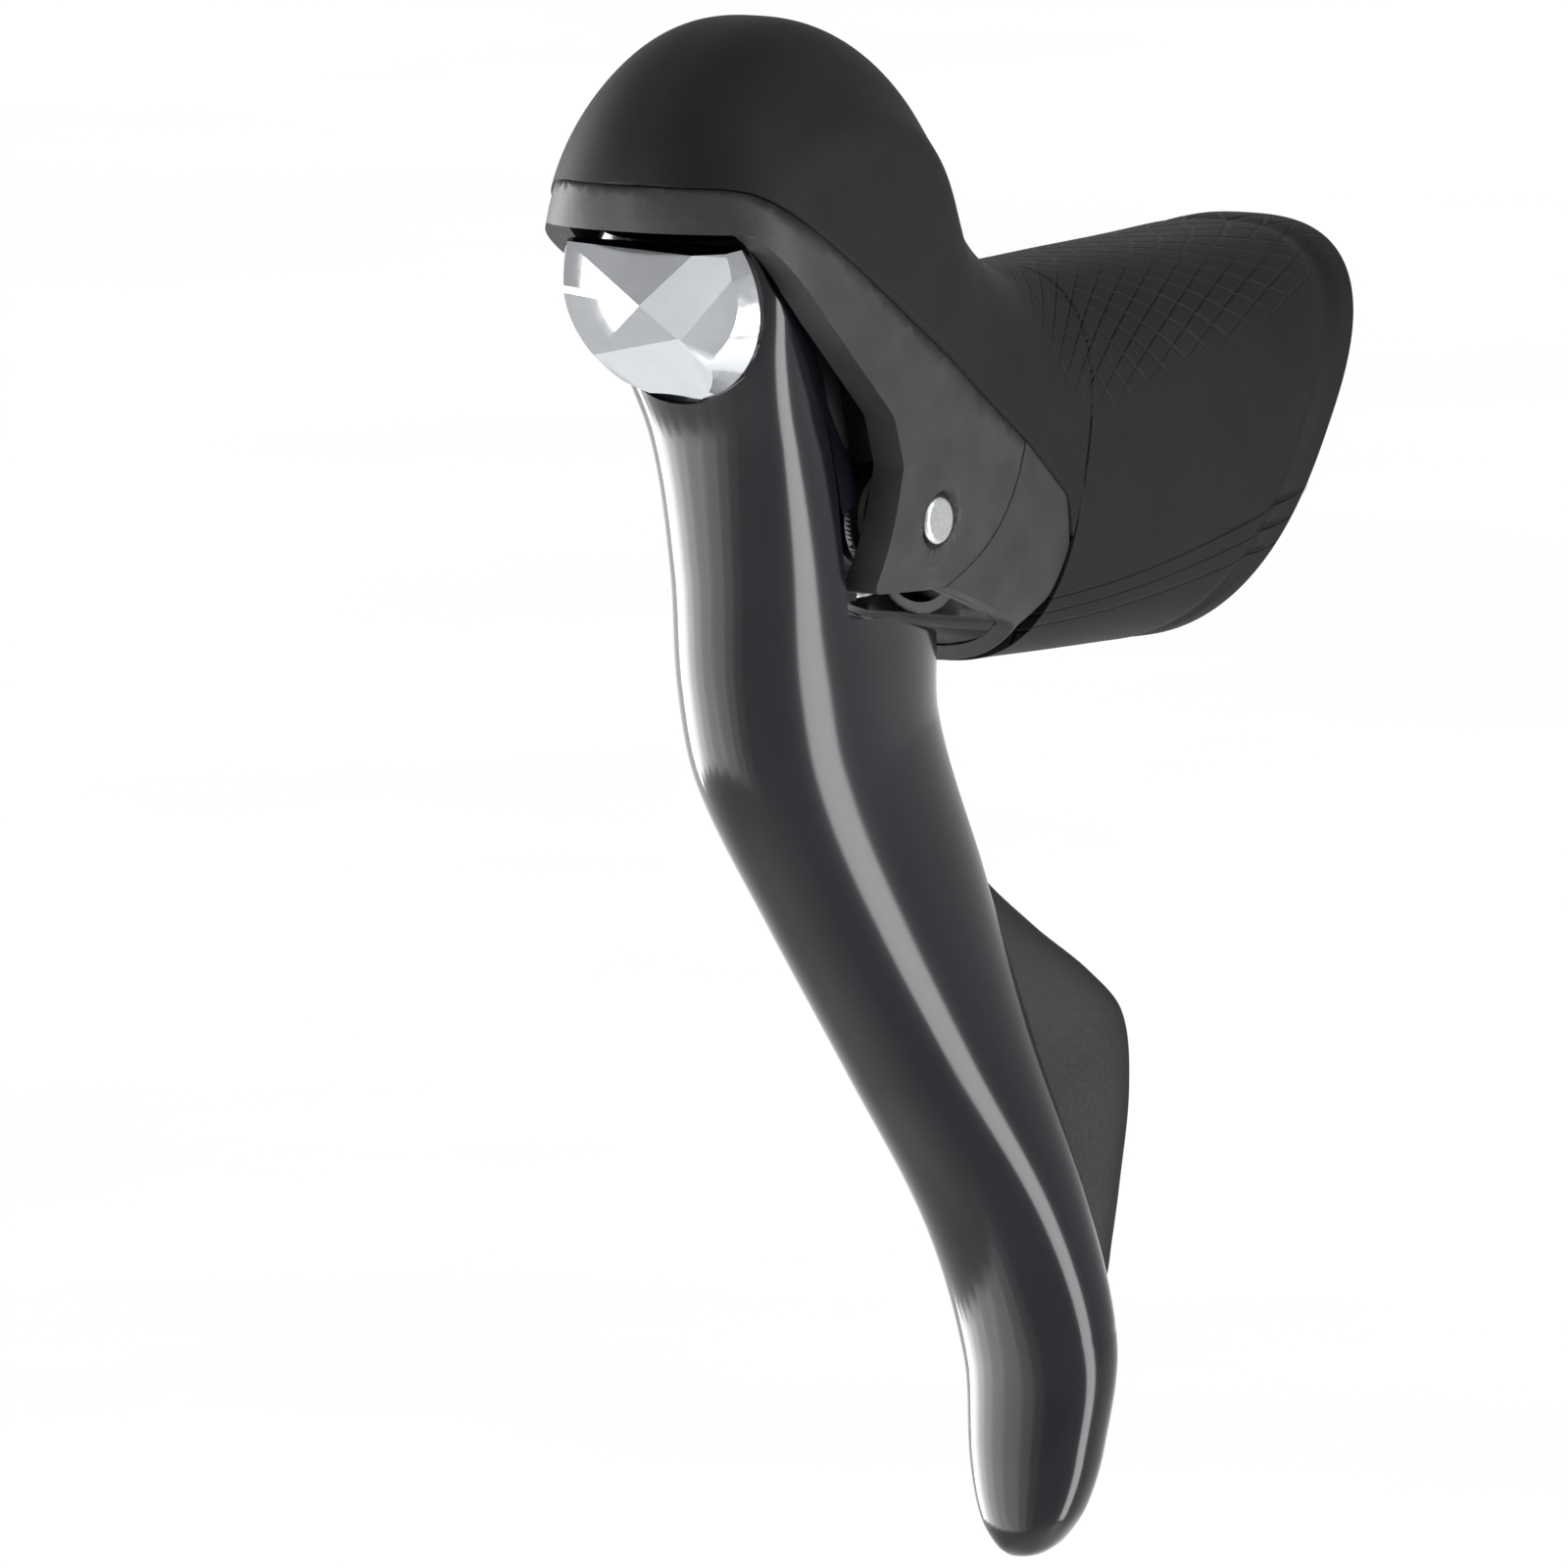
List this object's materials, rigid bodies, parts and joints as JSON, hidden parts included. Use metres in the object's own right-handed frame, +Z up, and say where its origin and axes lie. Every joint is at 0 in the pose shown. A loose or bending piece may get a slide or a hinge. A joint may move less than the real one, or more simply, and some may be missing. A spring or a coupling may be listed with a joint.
{
  "type": "brake shift lever",
  "caption": "Left-hand drop-bar lever: rubber hood over a bracket with a bar clamp, a hinged brake blade that also swings inward to shift, a paddle behind it and a fluid cylinder inside.",
  "frame": {"origin": "centre of the handlebar, inside the clamp band at the bracket's rear", "axes": "+X forward, along the way the rider faces; +Y outward, the rider's left; +Z up. The bar leans 25 degrees rearward at the top"},
  "size_m": [0.1356, 0.0491, 0.182],
  "materials": {
    "hood_rubber": "soft matte moulded rubber",
    "bracket_resin": "matte glass-filled resin",
    "cover_resin": "matte resin",
    "blade_paint": "glossy anodised and painted aluminium",
    "nameplate_chrome": "polished faceted plate",
    "paddle_resin": "satin dark resin",
    "support_forging": "satin forged",
    "pin_steel": "turned stainless steel",
    "spring_steel": "drawn spring steel",
    "bushing_polymer": "self-lubricating polymer",
    "ratchet_steel": "hardened steel",
    "reel_resin": "natural acetal",
    "cylinder_aluminium": "hard anodised",
    "seal_rubber": "fluid-resistant rubber",
    "lid_aluminium": "black anodised",
    "screw_steel": "blackened steel",
    "band_steel": "bright stainless strip"
  },
  "bodies": {
    "bracket": {"hood": "hood_rubber", "bracket_body": "bracket_resin", "lower_cover": "cover_resin", "pivot_pin": "pin_steel", "pin_clip": "spring_steel", "return_spring": "spring_steel", "master_cylinder": "cylinder_aluminium", "reservoir_diaphragm": "seal_rubber", "reservoir_cover": "lid_aluminium", "cover_screws": "screw_steel", "clamp_band": "band_steel", "cross_nut": "screw_steel", "clamp_bolt": "screw_steel"},
    "brake_lever": {"lever_support": "support_forging", "pin_bushing_outer": "bushing_polymer", "pin_bushing_inner": "bushing_polymer", "shift_spindle": "pin_steel", "spindle_nut": "ratchet_steel", "nameplate": "nameplate_chrome", "reach_screw": "screw_steel", "side_guard": "blade_paint"},
    "blade": {"lever_blade": "blade_paint"},
    "paddle": {"shift_paddle": "paddle_resin"},
    "reel": {"reel_ratchet": "ratchet_steel", "cable_reel": "reel_resin"},
    "pushed_piston": {"piston": "cylinder_aluminium", "piston_seals": "seal_rubber", "push_rod": "pin_steel"}
  },
  "joints": [
    {"name": "brake_pull", "type": "hinge", "parent": "bracket", "child": "brake_lever", "pos_m": [0.082, 0, -0.0035], "axis": [0, 1, 0], "range_deg": [0, 20], "stiffness_Nm_per_rad": 0.5, "springref_deg": -22.92},
    {"name": "blade_swing", "type": "hinge", "parent": "brake_lever", "child": "blade", "pos_m": [0.1136, 0, 0.0249], "axis": [-0.9659, 0, 0.2588], "range_deg": [0, 15], "stiffness_Nm_per_rad": 0.3, "springref_deg": -28.65},
    {"name": "paddle_swing", "type": "hinge", "parent": "blade", "child": "paddle", "pos_m": [0.1136, 0, 0.0249], "axis": [-0.9659, 0, 0.2588], "range_deg": [0, 10], "stiffness_Nm_per_rad": 0.15, "springref_deg": -28.65},
    {"name": "reel_turn", "type": "hinge", "parent": "brake_lever", "child": "reel", "pos_m": [0.1136, 0, 0.0249], "axis": [-0.9659, 0, 0.2588], "range_deg": [0, 110]},
    {"name": "piston_slide", "type": "slide", "parent": "bracket", "child": "pushed_piston", "axis": [-1, 0, 0], "range_m": [0, 0.003]}
  ],
  "couplings": [
    {"joint": "piston_slide", "follows": "brake_pull", "m_per_rad": 0.0083}
  ]
}
